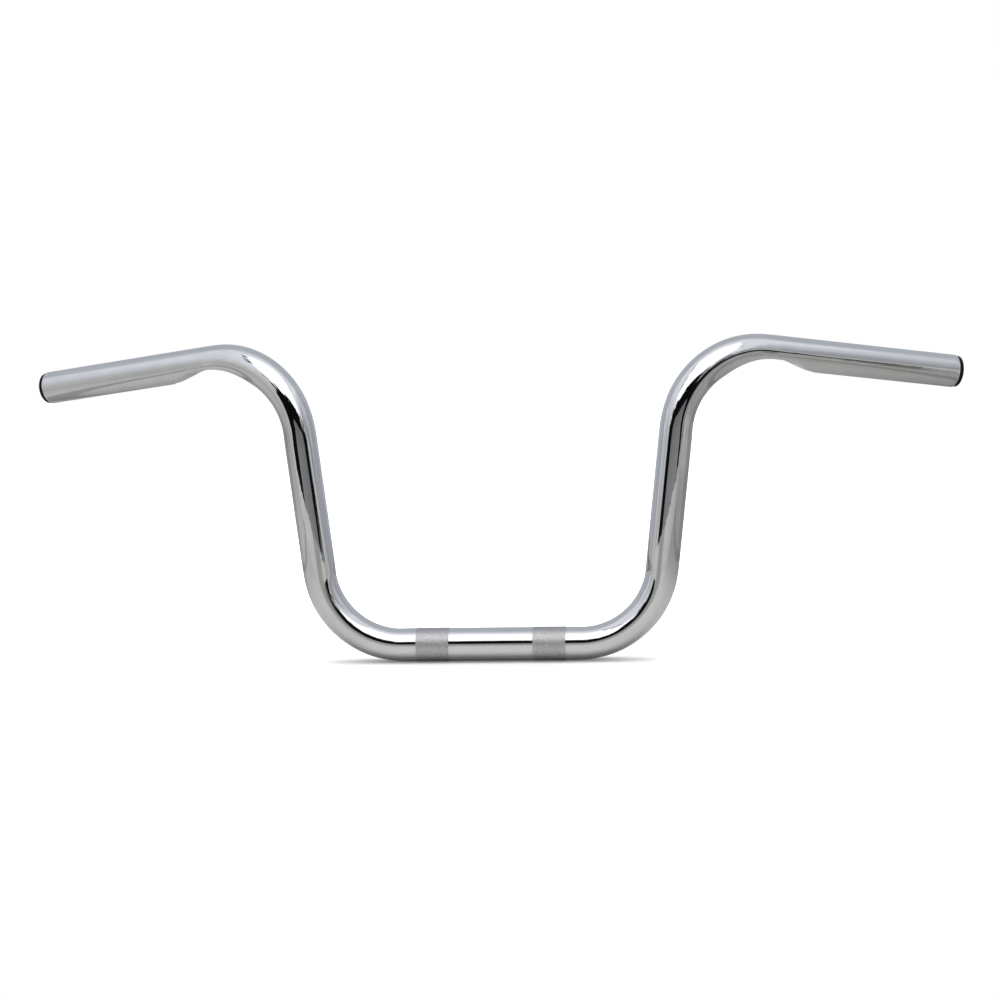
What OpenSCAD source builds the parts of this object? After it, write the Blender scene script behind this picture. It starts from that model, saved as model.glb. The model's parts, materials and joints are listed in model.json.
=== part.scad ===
// Ape hanger handlebar: one bent steel tube with two knurled clamp bands,
// a pressed cable dimple under each grip, and a push-in plug in each end.
// Origin: middle of the clamp section, on the tube's axis.
// +X runs along the clamp section to the rider's left, +Y back to the rider, +Z up.

/* [Tube] */
// Outside diameter of the tube
tube_d = 25.4; // [22:0.1:32]
// Wall of the tube
tube_wall = 2.4; // [1.6:0.1:3.2]

// How much the bends draw the tube's radius in
bend_draw = 0.2; // [0.1:0.05:0.4]
// Length of straight tube over which it draws in ahead of a bend
draw_in_len = 6; // [3:0.5:10]

/* [Clamp section] */
// Straight length between the two lower bends
clamp_straight = 138; // [136:1:240]
// Distance between the middles of the two knurled bands
knurl_spacing = 90; // [80:1:100]
// Width of each knurled band
knurl_width = 26; // [16:1:30]
// How far the rolled knurl stands above the plain tube
knurl_rise = 0.2; // [0.15:0.05:0.4]
// Bevel at each side of a knurled band, along the tube
knurl_bevel = 0.6; // [0.3:0.1:2]

/* [Uprights] */
// Centreline radius of the lower bends
lower_bend_r = 63.5; // [50:0.5:90]
// Lean of each upright away from vertical, outwards
splay = 6.5; // [0:0.5:15]
// Straight length of each upright between its bends
upright_len = 109; // [40:1:350]
// Centreline radius of the upper bends
upper_bend_r = 63.5; // [55:0.5:90]

/* [Grips] */
// Angle that each grip sweeps back to the rider
sweep = 21; // [0:0.5:35]
// Angle that each grip drops towards its end
droop = 7.5; // [0:0.5:20]
// Straight length of each grip, from the upper bend to the tube's end
grip_len = 160; // [150:1:260]
// Bevel round the mouth of the tube, outside
mouth_bevel = 0.6; // [0.2:0.1:1]

/* [Cable dimples] */
// Room for a hand grip: from the tube's end to where the dimple begins
grip_reach = 118; // [100:1:119]
// Depth of the pressed floor below the tube's own surface
dimple_depth = 7.3; // [4.5:0.1:8]
// Slope of the ramp at the dimple's outer end
ramp_angle = 21; // [18:1:26]
// Radius where the ramp meets the floor
ramp_root_r = 30; // [10:1:32]
// Radius of the shoulder where the ramp meets the plain tube
ramp_shoulder_r = 14; // [8:1:16]
// Radius of the long curve that runs the floor out into the bend
runout_r = 46; // [40:1:48]
// Length of the flat floor between that curve and the root of the ramp
floor_len = 8.6; // [4:0.2:14]

/* [End plugs] */
// Gap all round between the plug's head and the tube's outside diameter
head_inset = 0.6; // [0.2:0.1:1.5]
// Height of the head's edge, its bevel included
head_edge = 2.8; // [1.5:0.1:4]
// Bevel round the head's edge
head_bevel = 0.8; // [0.3:0.1:1.2]
// Height of the low dome on the head, above its edge
head_dome = 1.4; // [0.8:0.1:3]
// Length of the stem in the tube
stem_len = 22; // [14:1:40]
// Wall of the hollow stem
stem_wall = 1.8; // [1.2:0.1:3]
// Depth of the grooves between the stem's ribs
rib_depth = 0.9; // [0.4:0.1:1.2]
// Number of ribs on the stem
rib_count = 4; // [2:1:6]
// Width of each rib
rib_width = 1.6; // [1:0.1:2]
// Clearance between the ribs and the bore, all round
plug_clearance = 0.1; // [0.05:0.05:0.3]

/* [Hidden] */
$fn = 96;
tube_r = tube_d / 2;
bore_r = tube_r - tube_wall;
knurl_r = tube_r + knurl_rise;
mid_wall_r = tube_r - tube_wall / 2;

// The grip's direction in the upright's own axes: along it, outwards and back
grip_along = cos(sweep) * cos(droop) * sin(splay) - sin(droop) * cos(splay);
grip_out = cos(sweep) * cos(droop) * cos(splay) + sin(droop) * sin(splay);
grip_back = sin(sweep) * cos(droop);
lower_bend_angle = 90 - splay;
upper_bend_angle = acos(grip_along);
upper_roll = atan2(grip_back, grip_out);

// The dimple's side view: x along the grip from the end of the bend, y towards its underside
floor_y = tube_r - dimple_depth;
// The shoulder's lowest point lies this far outside the tube, so that the two surfaces cross
shoulder_overlap = 0.1;
// The floor and the ramp run this far inside the round ends that they join
seam = 0.01;
ramp_rounds = ramp_root_r + ramp_shoulder_r;
// Height that the straight stretch of the ramp climbs between its two round ends
ramp_climb = dimple_depth + shoulder_overlap - ramp_rounds + (ramp_rounds - 2 * seam) * cos(ramp_angle);
shoulder_x = grip_len - grip_reach;
shoulder_y = tube_r + shoulder_overlap - ramp_shoulder_r;
root_x = shoulder_x - (ramp_rounds - 2 * seam) * sin(ramp_angle) - ramp_climb / tan(ramp_angle);
root_y = floor_y + ramp_root_r;
runout_start = root_x - floor_len;
// Slope of the short cone that carries a straight into a bend, steeper than the bend turns away
draw_slope = 0.12;
draw_cone = 4;
// How far cutting shapes reach past the tube
clear = 2;

head_r = tube_r - head_inset;
dome_r = head_r - head_bevel;
dome_sphere_r = (dome_r * dome_r + head_dome * head_dome) / (2 * head_dome);
rib_r = bore_r - plug_clearance;
stem_r = rib_r - rib_depth;
rib_pitch = (stem_len - rib_width) / rib_count;

// Places along the left arm. Each has +Z on along the tube and +X to the inside of the bend.
module at_lower_bend() translate([clamp_straight / 2, 0, 0]) rotate([0, 90, 0]) rotate([0, 0, 180]) children();
module past_bend(radius, angle)
    translate([radius * (1 - cos(angle)), 0, radius * sin(angle)]) rotate([0, angle, 0]) children();
module at_upright() at_lower_bend() past_bend(lower_bend_r, lower_bend_angle) children();
module at_upper_bend() at_upright() translate([0, 0, upright_len]) rotate([0, 0, 180 + upper_roll]) children();
module at_grip() at_upper_bend() past_bend(upper_bend_r, upper_bend_angle) children();
module at_tube_end() at_grip() translate([0, 0, grip_len]) children();

// A round rod that bends from +Z towards +X, drawn in from the radius r of its straights
module bend(r, radius, angle) {
    translate([radius, 0, 0])
        rotate([90, 0, 180])
            rotate_extrude(angle = angle)
                translate([radius, 0])
                    circle(r = r - bend_draw);
}

// A straight rod along +Z from 0 to length, drawn in at an end that meets a bend.
// Past that end a short cone sinks into the bend, so that rod and bend are one.
module straight(r, length, bend_after = true) {
    inner = [
        [0, -draw_cone],
        [r - bend_draw / 2 - draw_cone * draw_slope, -draw_cone],
        [r - bend_draw / 2, 0],
        [r, draw_in_len]
    ];
    outer = [
        [r, length - draw_in_len],
        [r - bend_draw / 2, length],
        [r - bend_draw / 2 - draw_cone * draw_slope, length + draw_cone],
        [0, length + draw_cone]
    ];
    free = [[r, length], [0, length]];
    rotate_extrude() polygon(concat(inner, bend_after ? outer : free));
}

// The whole bent path as a solid rod of radius r, its ends "extra" longer than the tube
module bar_path(r, extra = 0) {
    translate([-clamp_straight / 2, 0, 0]) rotate([0, 90, 0]) straight(r, clamp_straight);
    for (side = [0, 1]) mirror([side, 0, 0]) {
        at_lower_bend() bend(r, lower_bend_r, lower_bend_angle);
        at_upright() straight(r, upright_len);
        at_upper_bend() bend(r, upper_bend_r, upper_bend_angle);
        at_grip() straight(r, grip_len + extra, bend_after = false);
    }
}

// Side view of what the dimple takes from the tube, grown by t on the metal's side:
// a round run-out, a flat floor, a round root, a ramp and a round shoulder
module dimple_side_view(t) {
    root = ramp_root_r + t;
    shoulder = ramp_shoulder_r - t;
    bottom = tube_r + clear;
    ramp_foot = [root_x, root_y] + (root - seam) * [sin(ramp_angle), -cos(ramp_angle)];
    ramp_top = [shoulder_x, shoulder_y] - (shoulder - seam) * [sin(ramp_angle), -cos(ramp_angle)];
    translate([runout_start, floor_y + runout_r]) circle(r = runout_r + t);
    translate([root_x, root_y]) circle(r = root);
    difference() {
        polygon([
            [runout_start, floor_y - t + seam],
            [root_x, floor_y - t + seam],
            ramp_foot,
            ramp_top,
            [shoulder_x, ramp_top[1]],
            [shoulder_x, bottom + clear],
            [runout_start, bottom + clear]
        ]);
        translate([shoulder_x, shoulder_y]) circle(r = shoulder);
    }
}

// The pressing tool of one dimple, across the tube
module dimple_tool(t) {
    at_grip()
        rotate([0, -90, -90])
            linear_extrude(height = 2 * (tube_r + clear), center = true)
                dimple_side_view(t);
}

// A rod along the bent path with both dimples pressed into it
module pressed_path(r, t, extra = 0) {
    difference() {
        bar_path(r, extra);
        for (side = [0, 1]) mirror([side, 0, 0]) dimple_tool(t);
    }
}

// A raised band with bevelled sides, centred on its own middle
module knurl_band() {
    rotate([0, 90, 0])
        rotate_extrude()
            polygon([
                [mid_wall_r, -knurl_width / 2],
                [tube_r, -knurl_width / 2],
                [knurl_r, -knurl_width / 2 + knurl_bevel],
                [knurl_r, knurl_width / 2 - knurl_bevel],
                [tube_r, knurl_width / 2],
                [mid_wall_r, knurl_width / 2]
            ]);
}

// What the bevel round one mouth of the tube takes away
module mouth_cut() {
    rotate_extrude()
        polygon([
            [tube_r - mouth_bevel, clear],
            [tube_r - mouth_bevel, 0],
            [tube_r, -mouth_bevel],
            [tube_r + clear, -mouth_bevel],
            [tube_r + clear, clear]
        ]);
}

module handlebar() {
    color("silver")
        difference() {
            union() {
                pressed_path(tube_r, 0);
                for (x = [-1, 1] * knurl_spacing / 2) translate([x, 0, 0]) knurl_band();
            }
            pressed_path(bore_r, tube_wall, clear);
            for (side = [0, 1]) mirror([side, 0, 0]) at_tube_end() mouth_cut();
        }
}

// Half section of the plug's head: a round edge with a bevel at 45 degrees, under a low dome
module head_section() {
    intersection() {
        polygon([
            [0, 0],
            [head_r, 0],
            [head_r, head_edge - head_bevel],
            [0, head_edge - head_bevel + head_r]
        ]);
        translate([0, head_edge + head_dome - dome_sphere_r]) circle(r = dome_sphere_r);
    }
}

// A plug with its head's underside on z = 0 and its stem down into the tube
module end_plug() {
    color([0.06, 0.06, 0.065])
        difference() {
            union() {
                rotate_extrude() head_section();
                translate([0, 0, -stem_len]) cylinder(r = stem_r, h = stem_len + head_edge / 2);
                for (i = [1:rib_count]) translate([0, 0, -i * rib_pitch]) cylinder(r = rib_r, h = rib_width);
            }
            translate([0, 0, -stem_len - clear]) cylinder(r = stem_r - stem_wall, h = stem_len + clear);
        }
}

module left_end_plug() at_tube_end() end_plug();
module right_end_plug() mirror([1, 0, 0]) at_tube_end() end_plug();

handlebar();
left_end_plug();
right_end_plug();
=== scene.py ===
import json
import math

import bpy
from mathutils import Matrix, Vector
from mathutils.kdtree import KDTree

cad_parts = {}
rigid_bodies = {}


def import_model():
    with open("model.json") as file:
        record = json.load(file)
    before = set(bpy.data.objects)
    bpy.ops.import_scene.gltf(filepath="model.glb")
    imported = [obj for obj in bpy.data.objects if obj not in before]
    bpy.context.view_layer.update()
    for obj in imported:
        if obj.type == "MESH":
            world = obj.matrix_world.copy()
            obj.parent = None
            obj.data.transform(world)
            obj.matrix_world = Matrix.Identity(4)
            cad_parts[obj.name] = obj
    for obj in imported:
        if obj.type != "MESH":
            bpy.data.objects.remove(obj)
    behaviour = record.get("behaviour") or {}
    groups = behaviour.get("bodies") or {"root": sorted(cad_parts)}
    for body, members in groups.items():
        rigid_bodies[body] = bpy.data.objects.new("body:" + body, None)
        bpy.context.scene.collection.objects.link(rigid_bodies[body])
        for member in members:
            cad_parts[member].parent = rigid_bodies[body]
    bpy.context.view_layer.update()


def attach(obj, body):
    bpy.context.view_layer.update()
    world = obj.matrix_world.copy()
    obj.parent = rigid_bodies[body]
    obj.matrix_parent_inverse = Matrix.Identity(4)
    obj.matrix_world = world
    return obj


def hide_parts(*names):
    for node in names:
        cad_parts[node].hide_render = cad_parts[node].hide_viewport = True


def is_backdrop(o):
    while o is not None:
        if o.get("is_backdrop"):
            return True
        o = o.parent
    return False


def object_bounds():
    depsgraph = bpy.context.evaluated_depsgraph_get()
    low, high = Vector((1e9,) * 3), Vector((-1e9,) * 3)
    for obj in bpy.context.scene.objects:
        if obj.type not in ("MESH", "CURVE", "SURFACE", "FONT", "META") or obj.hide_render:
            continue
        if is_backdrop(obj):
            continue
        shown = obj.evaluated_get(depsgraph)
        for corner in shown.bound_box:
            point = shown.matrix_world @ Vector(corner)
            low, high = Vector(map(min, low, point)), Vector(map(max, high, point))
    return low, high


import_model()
for start_object in [o for o in bpy.data.objects if o.name in ("Cube", "Camera", "Light")]:
    bpy.data.objects.remove(start_object)
MM = 0.001

# Bent tube
# One length of 25.4 mm steel tube, bent cold on a mandrel four times, with the
# underside of each grip pressed in for the cables, then polished and chromed.
TUBE_R = 12.7 * MM
TUBE_WALL = 2.4 * MM
BEND_DRAW = 0.2 * MM
DRAW_LEN = 6 * MM
CLAMP_HALF = 69 * MM
LOWER_BEND_R = 63.5 * MM
UPPER_BEND_R = 63.5 * MM
UPRIGHT_LEN = 109 * MM
GRIP_LEN = 160 * MM
MOUTH_BEVEL = 0.6 * MM
SPLAY = math.radians(6.5)
SWEEP = math.radians(21)
DROOP = math.radians(7.5)
ROUND_STEPS = 96
STRAIGHT_STEP = 3.4 * MM
BEND_STEP = 2 * MM
DIMPLE_STEP = 1.6 * MM
MERGE_GAP = 0.002 * MM
MIDDLE_GAP = 0.01 * MM
SQUARE_EDGE = math.radians(60)
SOFT_EDGE = math.radians(35)

upright_way = Vector((math.sin(SPLAY), 0, math.cos(SPLAY)))
grip_way = Vector(
    (
        math.cos(SWEEP) * math.cos(DROOP),
        math.sin(SWEEP) * math.cos(DROOP),
        -math.sin(DROOP),
    )
)


def deselect():
    for o in bpy.context.selected_objects:
        o.select_set(False)


def pick(piece):
    deselect()
    bpy.context.view_layer.objects.active = piece
    piece.select_set(True)


def open_all(piece):
    """Opens one piece in edit mode, with all of it selected."""
    pick(piece)
    bpy.ops.object.mode_set(mode="EDIT")
    bpy.ops.mesh.select_mode(type="VERT")
    bpy.ops.mesh.select_all(action="SELECT")


def close_edit():
    bpy.ops.object.mode_set(mode="OBJECT")


def settle(piece):
    """Puts the piece's place into its mesh, so that its object is at the origin."""
    pick(piece)
    bpy.ops.object.transform_apply(location=True, rotation=True, scale=True)


def finish_with(piece, kind, **values):
    """Adds a modifier with these values and applies it."""
    pick(piece)
    added = piece.modifiers.new(kind.lower(), kind)
    for name, value in values.items():
        setattr(added, name, value)
    bpy.ops.object.modifier_apply(modifier=added.name)


def outwards(piece):
    """Closes the seams and turns every face outwards."""
    open_all(piece)
    bpy.ops.mesh.remove_doubles(threshold=MERGE_GAP)
    bpy.ops.mesh.normals_make_consistent(inside=False)
    close_edit()


def give_material(piece, material):
    piece.data.materials.clear()
    piece.data.materials.append(material)


deselect()
bpy.ops.mesh.primitive_circle_add(vertices=ROUND_STEPS, radius=TUBE_R, rotation=(0, math.pi / 2, 0))
bar = bpy.context.object
bar.name = "bent_tube"
settle(bar)

# The ring is drawn out along the clamp section, spun round each bend and drawn up each
# straight. A station is a ring's middle, the tube's direction there and its draw-in.
stations = [(Vector((0, 0, 0)), Vector((1, 0, 0)), 0.0)]


def draw_out(length, step, draw_after=True):
    """Draws the ring out along a straight, which narrows where it meets a bend."""
    count = round(length / step)
    start, way = stations[-1][0], stations[-1][1]
    from_bend = len(stations) > 1
    for i in range(1, count + 1):
        bpy.ops.mesh.extrude_region_move(TRANSFORM_OT_translate={"value": way * (length / count)})
        done = length * i / count
        near = min(done if from_bend else length, length - done if draw_after else length)
        draw = BEND_DRAW * max(0, 0.5 - near / DRAW_LEN / 2)
        stations.append((start + way * done, way, draw))


def spin_round(way_out, radius):
    """Spins the ring round a bend until it points along way_out; returns the bend's axis."""
    start, way = stations[-1][0], stations[-1][1]
    axis = way.cross(way_out).normalized()
    centre = start + axis.cross(way) * radius
    angle = way.angle(way_out)
    count = round(angle * radius / BEND_STEP)
    bpy.ops.mesh.spin(steps=count, angle=-angle, center=centre, axis=axis)
    for i in range(1, count + 1):
        turn = Matrix.Rotation(angle * i / count, 3, axis)
        near = min(i, count - i) * BEND_STEP
        draw = BEND_DRAW * min(1, 0.5 + near / DRAW_LEN / 2)
        stations.append((centre + turn @ (start - centre), turn @ way, draw))
    return axis


open_all(bar)
draw_out(CLAMP_HALF, STRAIGHT_STEP)
spin_round(upright_way, LOWER_BEND_R)
draw_out(UPRIGHT_LEN, STRAIGHT_STEP)
upper_axis = spin_round(grip_way, UPPER_BEND_R)
grip_start = stations[-1][0]
draw_out(GRIP_LEN, DIMPLE_STEP, draw_after=False)
close_edit()

# Each ring draws in where the mandrel stretched the tube.
nearest = KDTree(len(stations))
for n, station in enumerate(stations):
    nearest.insert(station[0], n)
nearest.balance()
for vertex in bar.data.vertices:
    middle, _, draw = stations[nearest.find(vertex.co)[1]]
    vertex.co = middle + (vertex.co - middle) * (1 - draw / TUBE_R)

# The press flattens the underside of the grip: a run-out into the bend, a floor, a round
# root, a ramp and a round shoulder, in the view from the side. The lip rolls over softly.
GRIP_REACH = 118 * MM
DIMPLE_DEPTH = 7.3 * MM
RAMP_ANGLE = math.radians(21)
ROOT_R = 30 * MM
SHOULDER_R = 14 * MM
SHOULDER_OVER = 0.1 * MM
RUNOUT_R = 46 * MM
FLOOR_LEN = 8.6 * MM
LIP_SOFT = 2.4 * MM

inward = upper_axis.cross(grip_way)
floor_y = TUBE_R - DIMPLE_DEPTH
shoulder_x = GRIP_LEN - GRIP_REACH
shoulder_y = TUBE_R + SHOULDER_OVER - SHOULDER_R
rounds = ROOT_R + SHOULDER_R
climb = DIMPLE_DEPTH + SHOULDER_OVER - rounds + rounds * math.cos(RAMP_ANGLE)
root_x = shoulder_x - rounds * math.sin(RAMP_ANGLE) - climb / math.tan(RAMP_ANGLE)
runout_x = root_x - FLOOR_LEN
ramp_foot_x = root_x + ROOT_R * math.sin(RAMP_ANGLE)
ramp_foot_y = floor_y + ROOT_R * (1 - math.cos(RAMP_ANGLE))
ramp_top_x = shoulder_x - SHOULDER_R * math.sin(RAMP_ANGLE)
# Only the tube above this height is pressed, so that the lower bends stay round
press_z = grip_start.z - 3 * TUBE_R


def pressed_height(x):
    """Height of the press tool over the tube's axis, x along the grip from the bend."""
    if x < runout_x:
        return floor_y + RUNOUT_R - math.sqrt(max(0, RUNOUT_R**2 - (x - runout_x) ** 2))
    if x < root_x:
        return floor_y
    if x < ramp_foot_x:
        return floor_y + ROOT_R - math.sqrt(ROOT_R**2 - (x - root_x) ** 2)
    if x < ramp_top_x:
        return ramp_foot_y + (x - ramp_foot_x) * math.tan(RAMP_ANGLE)
    if x < shoulder_x:
        return shoulder_y + math.sqrt(SHOULDER_R**2 - (shoulder_x - x) ** 2)
    return TUBE_R + LIP_SOFT


for vertex in bar.data.vertices:
    along = (vertex.co - grip_start).dot(grip_way)
    height = (vertex.co - grip_start).dot(inward)
    if vertex.co.z > press_z and along > runout_x - RUNOUT_R:
        over = height - pressed_height(along)
        lip = max(0, LIP_SOFT - abs(over)) / LIP_SOFT
        pressed = min(over, 0) - lip * lip * LIP_SOFT / 4
        vertex.co += inward * (pressed - over)

finish_with(bar, "MIRROR", use_axis=(True, False, False), use_mirror_merge=True, merge_threshold=MIDDLE_GAP)
outwards(bar)
finish_with(bar, "SOLIDIFY", thickness=TUBE_WALL, offset=-1, use_even_offset=True, use_rim=True)
finish_with(bar, "BEVEL", width=MOUTH_BEVEL, segments=3, limit_method="ANGLE", angle_limit=SQUARE_EDGE)
pick(bar)
bpy.ops.object.shade_smooth_by_angle(angle=SOFT_EDGE)


def socket(shader, name, value):
    shader.inputs[name].default_value = value


def new_material(name):
    made = bpy.data.materials.new(name)
    made.use_nodes = True
    return made, made.node_tree.nodes, made.node_tree.links, made.node_tree.nodes["Principled BSDF"]


# The grain that each finish has, at its own scale: a mask, a roughness and a colour
finish_grain = bpy.data.node_groups.new("finish_grain", "ShaderNodeTree")
for name, kind in (
    ("Scale", "Float"),
    ("Smoothest", "Float"),
    ("Roughest", "Float"),
    ("Light Color", "Color"),
    ("Dark Color", "Color"),
):
    finish_grain.interface.new_socket(name, in_out="INPUT", socket_type="NodeSocket" + kind)
for name, kind in (("Mask", "Float"), ("Roughness", "Float"), ("Color", "Color")):
    finish_grain.interface.new_socket(name, in_out="OUTPUT", socket_type="NodeSocket" + kind)
nodes, links = finish_grain.nodes, finish_grain.links
given = nodes.new("NodeGroupInput")
place = nodes.new("ShaderNodeTexCoord")
noise = nodes.new("ShaderNodeTexNoise")
socket(noise, "Detail", 3.0)
links.new(place.outputs["Object"], noise.inputs["Vector"])
links.new(given.outputs["Scale"], noise.inputs["Scale"])
# Most of the noise lies between these two values, which become 0 and 1
spread = nodes.new("ShaderNodeMapRange")
socket(spread, "From Min", 0.3)
socket(spread, "From Max", 0.7)
links.new(noise.outputs["Fac"], spread.inputs["Value"])
rough = nodes.new("ShaderNodeMapRange")
links.new(spread.outputs["Result"], rough.inputs["Value"])
links.new(given.outputs["Smoothest"], rough.inputs["To Min"])
links.new(given.outputs["Roughest"], rough.inputs["To Max"])
tone = nodes.new("ShaderNodeMix")
tone.data_type = "RGBA"
links.new(spread.outputs["Result"], tone.inputs["Factor"])
links.new(given.outputs["Light Color"], tone.inputs["A"])
links.new(given.outputs["Dark Color"], tone.inputs["B"])
taken = nodes.new("NodeGroupOutput")
links.new(spread.outputs["Result"], taken.inputs["Mask"])
links.new(rough.outputs["Result"], taken.inputs["Roughness"])
links.new(tone.outputs["Result"], taken.inputs["Color"])


def grained(nodes, links, shader, scale, smoothest, roughest, light, dark):
    """Places the grain in a material with its own values; returns the group's mask."""
    grain = nodes.new("ShaderNodeGroup")
    grain.node_tree = finish_grain
    socket(grain, "Scale", scale)
    socket(grain, "Smoothest", smoothest)
    socket(grain, "Roughest", roughest)
    socket(grain, "Light Color", (*light, 1))
    socket(grain, "Dark Color", (*dark, 1))
    links.new(grain.outputs["Roughness"], shader.inputs["Roughness"])
    links.new(grain.outputs["Color"], shader.inputs["Base Color"])
    return grain.outputs["Mask"]


def bumped(nodes, links, shader, height, strength, distance):
    """Raises a material's surface by a height between 0 and 1."""
    bump = nodes.new("ShaderNodeBump")
    socket(bump, "Strength", strength)
    socket(bump, "Distance", distance)
    links.new(height, bump.inputs["Height"])
    links.new(bump.outputs["Normal"], shader.inputs["Normal"])


# Chrome: bright, with the faint cloud and the soft waves that polishing leaves under it
chrome, nodes, links, shader = new_material("bright_chrome")
socket(shader, "Metallic", 1.0)
grained(
    nodes,
    links,
    shader,
    scale=60.0,
    smoothest=0.03,
    roughest=0.075,
    light=(0.85, 0.855, 0.865),
    dark=(0.79, 0.80, 0.82),
)
place = nodes.new("ShaderNodeTexCoord")
wave = nodes.new("ShaderNodeTexNoise")
socket(wave, "Scale", 45.0)
socket(wave, "Detail", 2.0)
links.new(place.outputs["Object"], wave.inputs["Vector"])
bumped(nodes, links, shader, wave.outputs["Fac"], strength=0.25, distance=0.6 * MM)

give_material(bar, chrome)
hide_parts("handlebar")
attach(bar, "root")

# Knurled bands
# Two bands of diamond knurl, rolled into the clamp section before plating so that
# the riser clamps bite. The plating is matte there, over many fine points.
KNURL_AT = 45 * MM
KNURL_W = 26 * MM
KNURL_ROUND = 144
KNURL_ROWS = 44
KNURL_RISE = 0.23 * MM
KNURL_DEPTH = 0.04 * MM
KNURL_PEAK = TUBE_R + KNURL_RISE
KNURL_VALLEY = KNURL_PEAK - KNURL_DEPTH
# The bands' ends go down into the tube's wall
KNURL_SEAT = TUBE_R - 0.5 * MM

knurled, nodes, links, shader = new_material("knurled_chrome")
socket(shader, "Metallic", 1.0)
grained(
    nodes,
    links,
    shader,
    scale=800.0,
    smoothest=0.38,
    roughest=0.46,
    light=(0.66, 0.66, 0.665),
    dark=(0.48, 0.48, 0.485),
)

for side, band_name in ((1, "left_knurl_band"), (-1, "right_knurl_band")):
    deselect()
    bpy.ops.mesh.primitive_circle_add(
        vertices=KNURL_ROUND,
        radius=KNURL_PEAK,
        location=(side * KNURL_AT - KNURL_W / 2, 0, 0),
        rotation=(0, math.pi / 2, 0),
    )
    band = bpy.context.object
    band.name = band_name
    settle(band)
    open_all(band)
    for _ in range(KNURL_ROWS):
        bpy.ops.mesh.extrude_region_move(TRANSFORM_OT_translate={"value": (KNURL_W / KNURL_ROWS, 0, 0)})
    close_edit()
    # Every other point is a peak, turned by one from row to row
    for n, vertex in enumerate(band.data.vertices):
        row, column = divmod(n, KNURL_ROUND)
        at_end = row in (0, KNURL_ROWS)
        high = (row + column) % 2 == 0
        reach = KNURL_SEAT if at_end else KNURL_PEAK if high else KNURL_VALLEY
        way = Vector((0, vertex.co.y, vertex.co.z)).normalized()
        vertex.co = Vector((vertex.co.x, 0, 0)) + way * reach
    # The inside is bridged from the first ring to the last
    last_ring = len(band.data.vertices) - KNURL_ROUND
    for n, vertex in enumerate(band.data.vertices):
        vertex.select = n < KNURL_ROUND or n >= last_ring
    for edge in band.data.edges:
        edge.select = all(band.data.vertices[v].select for v in edge.vertices)
    pick(band)
    bpy.ops.object.mode_set(mode="EDIT")
    bpy.ops.mesh.bridge_edge_loops()
    close_edit()
    outwards(band)
    pick(band)
    bpy.ops.object.shade_flat()
    give_material(band, knurled)
    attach(band, "root")

# End plugs
# A black moulded plastic plug pushed into each end: a low domed head that sits on
# the tube's rim, and a ribbed hollow stem that grips the bore.
HEAD_INSET = 0.6 * MM
HEAD_R = TUBE_R - HEAD_INSET
HEAD_EDGE = 3.7 * MM
HEAD_BEVEL = 0.8 * MM
HEAD_DOME = 1.4 * MM
STEM_LEN = 22 * MM
STEM_WALL = 1.8 * MM
# The hollow in the stem stops this far under the head
STEM_FLOOR = 0.2 * MM
PLUG_CLEARANCE = 0.1 * MM
RIB_DEPTH = 0.9 * MM
RIB_R = TUBE_R - TUBE_WALL - PLUG_CLEARANCE
STEM_R = RIB_R - RIB_DEPTH
RIBS = 4
RIB_W = 1.6 * MM
EDGE_BREAK = 0.2 * MM
# The outline starts and ends this far from the plug's axis
AXIS_GAP = 0.02 * MM
PLUG_STEPS = 72
BEVEL_STEPS = 5
DOME_STEPS = 8
PLUG_SOFT_EDGE = math.radians(40)

plastic, nodes, links, shader = new_material("black_plastic")
socket(shader, "Specular IOR Level", 0.12)
skin = grained(
    nodes,
    links,
    shader,
    scale=900.0,
    smoothest=0.55,
    roughest=0.65,
    light=(0.016, 0.016, 0.017),
    dark=(0.009, 0.009, 0.01),
)
bumped(nodes, links, shader, skin, strength=0.3, distance=0.05 * MM)

bevel_r = HEAD_R - HEAD_BEVEL
bevel_z = HEAD_EDGE - HEAD_BEVEL
dome_ball = (bevel_r**2 + HEAD_DOME**2) / (2 * HEAD_DOME)
dome_z = HEAD_EDGE + HEAD_DOME - dome_ball
rib_pitch = (STEM_LEN - RIB_W) / RIBS
# The plug's outline from the inside of its stem, round the ribs and head, to the dome's middle
outline = [
    (AXIS_GAP, -STEM_FLOOR),
    (STEM_R - STEM_WALL, -STEM_FLOOR),
    (STEM_R - STEM_WALL, -STEM_LEN),
    (STEM_R, -STEM_LEN),
]
for i in range(RIBS, 0, -1):
    low = -i * rib_pitch
    top = low + RIB_W
    # The lowest rib slopes up straight from the stem's end, to lead the plug in
    if i < RIBS:
        outline.append((STEM_R, low))
    outline += [(RIB_R, low + EDGE_BREAK), (RIB_R, top - EDGE_BREAK), (STEM_R, top)]
outline += [(STEM_R, 0), (HEAD_R - EDGE_BREAK, 0), (HEAD_R, EDGE_BREAK), (HEAD_R, bevel_z)]
for i in range(1, BEVEL_STEPS):
    turn = math.radians(90 * i / BEVEL_STEPS)
    outline.append((bevel_r + HEAD_BEVEL * math.cos(turn), bevel_z + HEAD_BEVEL * math.sin(turn)))
for i in range(DOME_STEPS + 1):
    r = bevel_r * (1 - i / DOME_STEPS) + AXIS_GAP
    outline.append((r, dome_z + math.sqrt(dome_ball**2 - r**2)))

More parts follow.
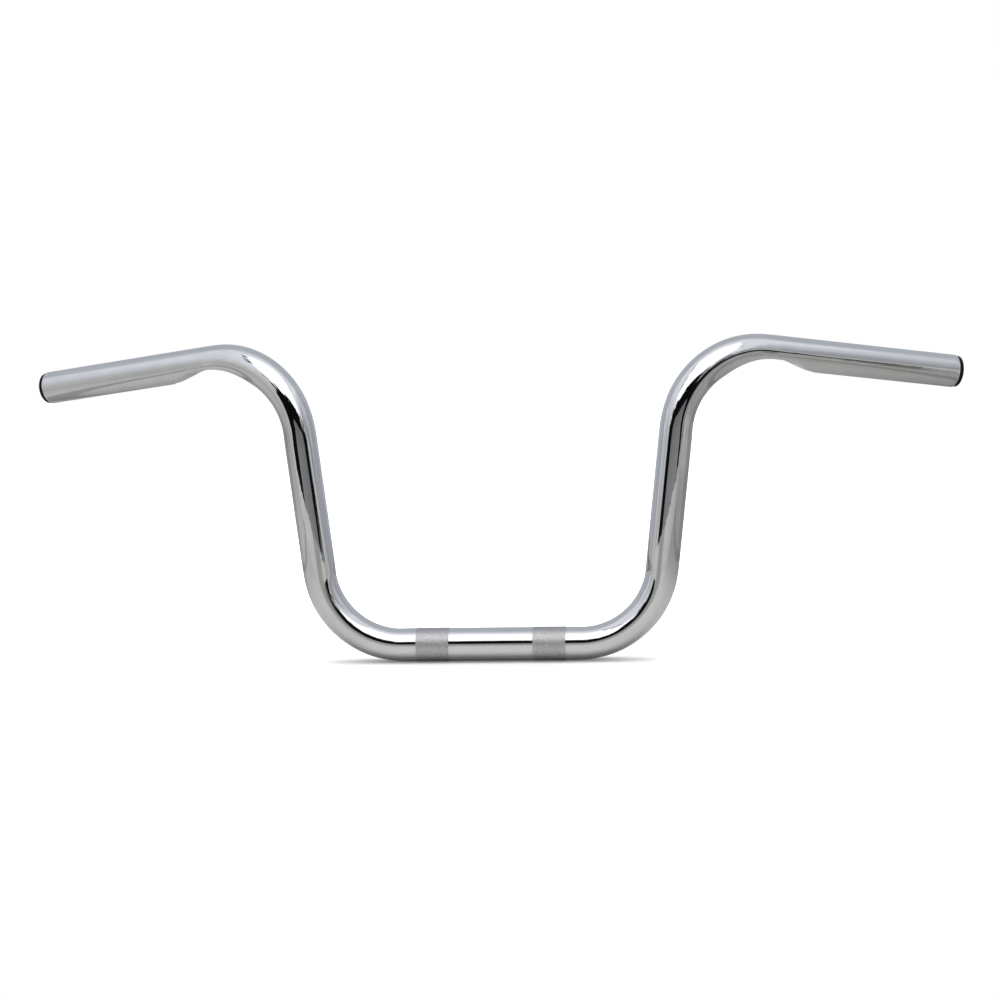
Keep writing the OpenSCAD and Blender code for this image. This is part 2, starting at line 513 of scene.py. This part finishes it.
tube_end = grip_start + grip_way * GRIP_LEN
for side, plug_name in ((1, "left_end_plug"), (-1, "right_end_plug")):
    deselect()
    bpy.ops.mesh.primitive_circle_add(
        vertices=PLUG_STEPS,
        radius=outline[0][0],
        location=(0, 0, outline[0][1]),
        fill_type="NGON",
    )
    plug = bpy.context.object
    plug.name = plug_name + "_moulding"
    settle(plug)
    open_all(plug)
    for (r0, z0), (r1, z1) in zip(outline, outline[1:]):
        bpy.ops.mesh.extrude_region_move(TRANSFORM_OT_translate={"value": (0, 0, z1 - z0)})
        bpy.ops.transform.resize(value=(r1 / r0, r1 / r0, 1), center_override=(0, 0, z1))
    close_edit()
    way = Vector((side * grip_way.x, grip_way.y, grip_way.z))
    end = Vector((side * tube_end.x, tube_end.y, tube_end.z))
    plug.matrix_world = Matrix.Translation(end) @ way.to_track_quat("Z", "Y").to_matrix().to_4x4()
    settle(plug)
    outwards(plug)
    pick(plug)
    bpy.ops.object.shade_smooth_by_angle(angle=PLUG_SOFT_EDGE)
    give_material(plug, plastic)
    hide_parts(plug_name)
    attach(plug, "root")

# White table
# The bar stands on its clamp section on a matte white table. The camera sees it burnt out to
# white but for the shadow under the bar, and the chrome sees it painted grey, a painted shade as in a tent.
# From here on, left and right are as the camera sees them: right is +X.
TABLE_SIZE = 4.0
# The knurled bands rest on the table, all but touching it
TABLE_Z = -KNURL_PEAK - 0.02 * MM
TABLE_FRONT = -0.4
TABLE_WHITE = (0.9, 0.9, 0.9)
# The clamp section mirrors what lies in front of it, but this far to the left, so the painted shade in
# front of the bar lies shifted this far
FRONT_SHIFT = 35 * MM
# Each of the two creases, a dark line of painted shade, lies this far out, and comes in by this slope
# towards the back
CREASE_X = 0.49
CREASE_SLOPE = 0.3


def put_in(slot, value):
    """Sets a slot to a number, or links the output of another node to it."""
    if isinstance(value, (int, float)):
        slot.default_value = value
    else:
        links.new(value, slot)


def math_node(operation, *values):
    made = nodes.new("ShaderNodeMath")
    made.operation = operation
    for slot, value in zip(made.inputs, values):
        put_in(slot, value)
    return made.outputs[0]


def times(first, *others):
    for other in others:
        first = math_node("MULTIPLY", first, other)
    return first


def plus(a, b):
    return math_node("ADD", a, b)


def minus(a, b):
    return math_node("SUBTRACT", a, b)


def unsigned(value):
    return math_node("ABSOLUTE", value)


def ramp_up(value, start, end):
    """0 below start and 1 above end, turned round if end is the smaller."""
    span = nodes.new("ShaderNodeMapRange")
    span.interpolation_type = "SMOOTHSTEP"
    put_in(span.inputs["Value"], value)
    put_in(span.inputs["From Min"], start)
    put_in(span.inputs["From Max"], end)
    return span.outputs["Result"]


def blend_colour(mask, below, above):
    """The colour below where the mask is 0 and the colour above where it is 1."""
    mix = nodes.new("ShaderNodeMix")
    mix.data_type = "RGBA"
    links.new(mask, mix.inputs["Factor"])
    for name, colour in (("A", below), ("B", above)):
        if isinstance(colour, tuple):
            mix.inputs[name].default_value = (*colour, 1)
        else:
            links.new(colour, mix.inputs[name])
    return mix.outputs["Result"]


def object_place():
    return nodes.new("ShaderNodeTexCoord").outputs["Object"]


def parts_of(place):
    parts = nodes.new("ShaderNodeSeparateXYZ")
    links.new(place, parts.inputs[0])
    return parts.outputs


def bare_material(thing, name):
    """Gives a thing of the stage a material with no nodes yet."""
    made = bpy.data.materials.new(name)
    made.use_nodes = True
    made.node_tree.nodes.clear()
    thing.data.materials.append(made)
    return made.node_tree.nodes, made.node_tree.links


deselect()
bpy.ops.mesh.primitive_plane_add(size=TABLE_SIZE, location=(0, TABLE_FRONT + TABLE_SIZE / 2, TABLE_Z))
table = bpy.context.object
table.name = "white_table"
settle(table)
nodes, links = bare_material(table, "white_table")
rays = nodes.new("ShaderNodeLightPath")
spot = parts_of(object_place())
off_middle = unsigned(spot["X"])

# In the chrome the table has painted shade: grey, darker in front, on the right and behind, and along the
# creases
table_painted_shade = blend_colour(ramp_up(off_middle, 0.12, 0.36), (0.62, 0.62, 0.60), (0.54, 0.54, 0.52))
shade_before_bar = ramp_up(unsigned(plus(spot["X"], FRONT_SHIFT)), 0.15, 0.08)
front_painted_shade = times(ramp_up(spot["Y"], -0.03, -0.3), shade_before_bar)
table_painted_shade = blend_colour(front_painted_shade, table_painted_shade, (0.42, 0.42, 0.41))
right_painted_shade = times(ramp_up(spot["X"], 0.15, 0.5), ramp_up(spot["X"], 1.0, 0.7))
table_painted_shade = blend_colour(right_painted_shade, table_painted_shade, (0.37, 0.37, 0.35))
behind_painted_shade = times(ramp_up(spot["Y"], 0.0, 0.22), ramp_up(spot["Y"], 1.0, 0.6), ramp_up(off_middle, 0.1, 0.25))
table_painted_shade = blend_colour(times(behind_painted_shade, 0.45), table_painted_shade, (0.18, 0.18, 0.175))
# The creases are dark lines of painted shade, seen only in the chrome
off_crease = plus(off_middle, math_node("MULTIPLY_ADD", spot["Y"], CREASE_SLOPE, -CREASE_X))
crease_painted_shade = ramp_up(unsigned(off_crease), 0.034, 0.014)
table_painted_shade = blend_colour(times(crease_painted_shade, 0.5), table_painted_shade, (0.14, 0.14, 0.125))

matte = nodes.new("ShaderNodeBsdfDiffuse")
links.new(blend_colour(rays.outputs["Is Camera Ray"], table_painted_shade, TABLE_WHITE), matte.inputs["Color"])
# Away from the bar the white background takes over from the lamp
from_sides = math_node("POWER", times(spot["X"], 0.9), 2)
far_off = math_node("SQRT", plus(from_sides, math_node("POWER", spot["Y"], 2)))
white_level = math_node("MULTIPLY_ADD", ramp_up(far_off, 0.05, 0.2), 0.9, 0.09)
glow = nodes.new("ShaderNodeEmission")
links.new(times(rays.outputs["Is Camera Ray"], white_level), glow.inputs["Strength"])
lit = nodes.new("ShaderNodeAddShader")
links.new(matte.outputs[0], lit.inputs[0])
links.new(glow.outputs[0], lit.inputs[1])
shown = nodes.new("ShaderNodeOutputMaterial")
links.new(lit.outputs[0], shown.inputs["Surface"])
table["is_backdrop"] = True

# Tent flap
# A low flap of grey cloth closes the tent along the table's front edge, and the camera looks
# in over it. It is seen only in the chrome, and its glow is painted light: the cloth's lit tone,
# with painted shade to the right and in front of the bar.
FLAP_WIDTH = 1.5
FLAP_TOP = 57 * MM


def seen_only_in_metal(thing):
    thing.visible_camera = False
    thing.visible_diffuse = False
    thing.visible_shadow = False
    thing.visible_transmission = False
    thing.visible_volume_scatter = False


def glow_with(colour):
    """Ends a material as an even glow of this colour."""
    cloth_glow = nodes.new("ShaderNodeEmission")
    links.new(colour, cloth_glow.inputs["Color"])
    shown = nodes.new("ShaderNodeOutputMaterial")
    links.new(cloth_glow.outputs[0], shown.inputs["Surface"])


deselect()
bpy.ops.mesh.primitive_plane_add(size=1)
flap = bpy.context.object
flap.name = "tent_flap"
flap.dimensions = (FLAP_WIDTH, FLAP_TOP - TABLE_Z, 0)
flap.rotation_euler = (math.pi / 2, 0, 0)
flap.location = (0, TABLE_FRONT, (FLAP_TOP + TABLE_Z) / 2)
settle(flap)
nodes, links = bare_material(flap, "flap_cloth")
spot = parts_of(object_place())
# Painted shade: the flap's glow is darker to the right and in front of the bar
flap_lit_and_shaded = blend_colour(ramp_up(spot["X"], 0.1, 0.7), (0.56, 0.56, 0.54), (0.38, 0.38, 0.36))
shade_before_bar = ramp_up(unsigned(plus(spot["X"], FRONT_SHIFT)), 0.15, 0.08)
glow_with(blend_colour(shade_before_bar, flap_lit_and_shaded, (0.34, 0.34, 0.33)))
seen_only_in_metal(flap)
flap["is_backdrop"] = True

# World and lamp
# The room's light comes evenly from all round and from one soft lamp over the bar. Straight
# past the table the camera sees a white background.
ROOM_LIGHT = (0.45, 0.45, 0.455)
LAMP_SIZE = 1.2
LAMP_WATTS = 16
LAMP_AT = (0, 0.1, 1.5)

world = bpy.context.scene.world or bpy.data.worlds.new("tent")
bpy.context.scene.world = world
world.use_nodes = True
nodes, links = world.node_tree.nodes, world.node_tree.links
nodes.clear()
tent = nodes.new("ShaderNodeBackground")
socket(tent, "Color", (*ROOM_LIGHT, 1))
outside = nodes.new("ShaderNodeBackground")
socket(outside, "Color", (1, 1, 1, 1))
rays = nodes.new("ShaderNodeLightPath")
choose = nodes.new("ShaderNodeMixShader")
links.new(rays.outputs["Is Camera Ray"], choose.inputs[0])
links.new(tent.outputs[0], choose.inputs[1])
links.new(outside.outputs[0], choose.inputs[2])
shown = nodes.new("ShaderNodeOutputWorld")
links.new(choose.outputs[0], shown.inputs["Surface"])

top_light = bpy.data.lights.new("top_soft_light", "AREA")
top_light.size = LAMP_SIZE
top_light.energy = LAMP_WATTS
lamp = bpy.data.objects.new("top_soft_light", top_light)
bpy.context.collection.objects.link(lamp)
lamp.location = LAMP_AT
lamp.visible_glossy = False

# Tent wall
# The tent's inside is a sphere of grey cloth round the table, seen only in the chrome, and its glow
# is painted light: a dark room over the flap in a black frame, a bright window above it that is
# the chrome's painted highlight, and painted light and shade of folds all round.
# Places on it are in degrees: across to the right, and height from the front up and over.
TENT_R = 2.0
# The window's glow is the chrome's painted highlight
WINDOW_WHITE = (1.35, 1.35, 1.35)
STAY_BLACK = (0.03, 0.03, 0.032)
CRUMPLE_BLACK = (0.01, 0.01, 0.01)
FRAME_BLACK = (0.004, 0.004, 0.004)
WINDOW_HALF = 31
WINDOW_NARROWS_AT = 46
WINDOW_NARROWING = 0.34
POST_ACROSS = 52.5
RAGGED_BY = 22
FRAME_ACROSS = 4.5
FRAME_HALF = 52
FRAME_TOP = 29
ROOM_HALF = 27.5
ROOM_TOP = 9.5
FRAME_FADE = 0.72

deselect()
bpy.ops.mesh.primitive_uv_sphere_add(segments=64, ring_count=32, radius=TENT_R)
tent_wall = bpy.context.object
tent_wall.name = "tent_wall"
pick(tent_wall)
bpy.ops.object.shade_smooth()
nodes, links = bare_material(tent_wall, "tent_cloth")
place = object_place()
spot = parts_of(place)


def noise_of(vector, scale, detail, roughness=0.5):
    made = nodes.new("ShaderNodeTexNoise")
    socket(made, "Scale", scale)
    socket(made, "Detail", detail)
    socket(made, "Roughness", roughness)
    links.new(vector, made.inputs["Vector"])
    return made.outputs["Fac"]


across = math_node("DEGREES", math_node("ARCSINE", math_node("DIVIDE", spot["X"], TENT_R)))
height = math_node("DEGREES", math_node("ARCTAN2", spot["Z"], times(spot["Y"], -1)))
aside = unsigned(across)
crease = noise_of(place, scale=4.0, detail=2.0)
ragged = plus(height, times(minus(crease, 0.5), RAGGED_BY))

# Grey cloth, warm low down and cool overhead, with painted light round the window and painted light and
# shade of soft folds
surround = blend_colour(ramp_up(height, -5, 70), (0.53, 0.53, 0.515), (0.68, 0.70, 0.74))
surround = blend_colour(ramp_up(height, 88, 112), surround, (0.46, 0.48, 0.52))
window_spill_light = times(ramp_up(aside, 58, 36), ramp_up(height, 100, 84), ramp_up(height, 8, 16))
surround = blend_colour(window_spill_light, surround, (0.80, 0.82, 0.86))
# Painted light and shade of soft folds in the cloth
fold_place = nodes.new("ShaderNodeCombineXYZ")
links.new(times(across, 0.09), fold_place.inputs[0])
links.new(times(height, 0.006), fold_place.inputs[1])
fold = noise_of(fold_place.outputs[0], scale=1.0, detail=2.0)
fold_light_and_shade = times(minus(fold, 0.5), ramp_up(aside, 20, 45))
side_shade = times(ramp_up(aside, 42, 60), -0.08)
right_depth = math_node("MULTIPLY_ADD", ramp_up(height, 75, 30), -0.22, -0.16)
right_shade = times(ramp_up(across, 34, 46), ramp_up(height, 13, 22), right_depth)
cloth_light_and_shade = plus(math_node("MULTIPLY_ADD", fold_light_and_shade, 0.7, 1.0), plus(side_shade, right_shade))
shaded = nodes.new("ShaderNodeVectorMath")
shaded.operation = "SCALE"
links.new(surround, shaded.inputs[0])
links.new(cloth_light_and_shade, shaded.inputs["Scale"])

# A dark post stands low on the right
post_line = ramp_up(unsigned(minus(across, POST_ACROSS)), 2.6, 1.0)
right_post = times(post_line, ramp_up(height, -26, -12), ramp_up(height, 18, 6))
seen = blend_colour(times(right_post, 0.7), shaded.outputs[0], (0.1, 0.1, 0.09))

# The window, the glow of the chrome's painted highlight, narrows upwards, between two dark stays
narrowing = times(math_node("MAXIMUM", minus(height, WINDOW_NARROWS_AT), 0), WINDOW_NARROWING)
off_window = minus(aside, minus(WINDOW_HALF, narrowing))
window = times(ramp_up(ragged, 9, 11), ramp_up(height, 88, 70), ramp_up(off_window, 1, -2))
seen = blend_colour(window, seen, WINDOW_WHITE)
stay = times(ramp_up(unsigned(off_window), 3.2, 1.4), ramp_up(height, 42, 50), ramp_up(height, 80, 70))
stay = times(stay, ramp_up(across, 60, -50), ramp_up(crease, 0.40, 0.50))
seen = blend_colour(stay, seen, STAY_BLACK)

# Crumpled black cloth at the window's lower corners
crumple = noise_of(place, scale=9.0, detail=5.0, roughness=0.75)
corner_sides = times(ramp_up(aside, 16, 24), ramp_up(aside, 48, 40))
corner = times(corner_sides, ramp_up(height, 6, 12), ramp_up(height, 32, 22))
seen = blend_colour(times(corner, ramp_up(crumple, 0.48, 0.53)), seen, CRUMPLE_BLACK)


def arch_height(top, half, power):
    """Height of an arch, by how far from its middle a place is."""
    share = math_node("POWER", math_node("DIVIDE", off_frame_middle, half), power)
    return minus(top, times(share, top))


# Over the flap the room is dark grey, in a black frame with round upper corners that is only
# a shade at its right end
off_frame_middle = unsigned(minus(across, FRAME_ACROSS))
in_frame = ramp_up(minus(ragged, arch_height(FRAME_TOP, FRAME_HALF, power=4)), 0.8, -0.8)
right_end = times(ramp_up(across, 42, 49), ramp_up(height, 6, 0))
right_corner = times(ramp_up(across, 22, 32), ramp_up(height, 12, 17))
faded = math_node("MAXIMUM", right_end, right_corner)
in_frame = times(in_frame, math_node("MULTIPLY_ADD", faded, -FRAME_FADE, 1))
seen = blend_colour(in_frame, seen, FRAME_BLACK)
room = ramp_up(minus(height, arch_height(ROOM_TOP, ROOM_HALF, power=6)), 0.6, -0.8)
room_grey = blend_colour(ramp_up(height, -6, 8), (0.24, 0.24, 0.245), (0.16, 0.16, 0.165))
glow_with(blend_colour(room, seen, room_grey))
seen_only_in_metal(tent_wall)
tent_wall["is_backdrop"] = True

# Camera
# It stands 1.8 m in front of the bar, a little above it and to its right, with a long lens,
# and leans slightly to one side.
LOOK_AT = Vector((0, 0, 110 * MM))
YAW = math.radians(4.96)
PITCH = math.radians(5.63)
ROLL = math.radians(-1.3)
CAMERA_AWAY = 1.8097
CAMERA_RIGHT = 8.95 * MM
CAMERA_UP = 1.37 * MM
SENSOR_WIDTH = 36
FOCAL_LENGTH = 84.996

turn = Matrix.Rotation(YAW, 3, "Z") @ Matrix.Rotation(-PITCH, 3, "X")
level_right, ahead, level_up = turn @ Vector((1, 0, 0)), turn @ Vector((0, 1, 0)), turn @ Vector((0, 0, 1))
right = level_right * math.cos(ROLL) + level_up * math.sin(ROLL)
up = level_up * math.cos(ROLL) - level_right * math.sin(ROLL)
lens = bpy.data.cameras.new("camera")
lens.sensor_width = SENSOR_WIDTH
lens.lens = FOCAL_LENGTH
camera = bpy.data.objects.new("camera", lens)
bpy.context.collection.objects.link(camera)
eye = LOOK_AT - ahead * CAMERA_AWAY + right * CAMERA_RIGHT + up * CAMERA_UP
axes = Matrix((right, up, -ahead)).transposed()
camera.matrix_world = Matrix.Translation(eye) @ axes.to_4x4()
bpy.context.scene.camera = camera
bpy.context.scene.view_settings.view_transform = "Standard"

# Bounds of the object
low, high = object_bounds()
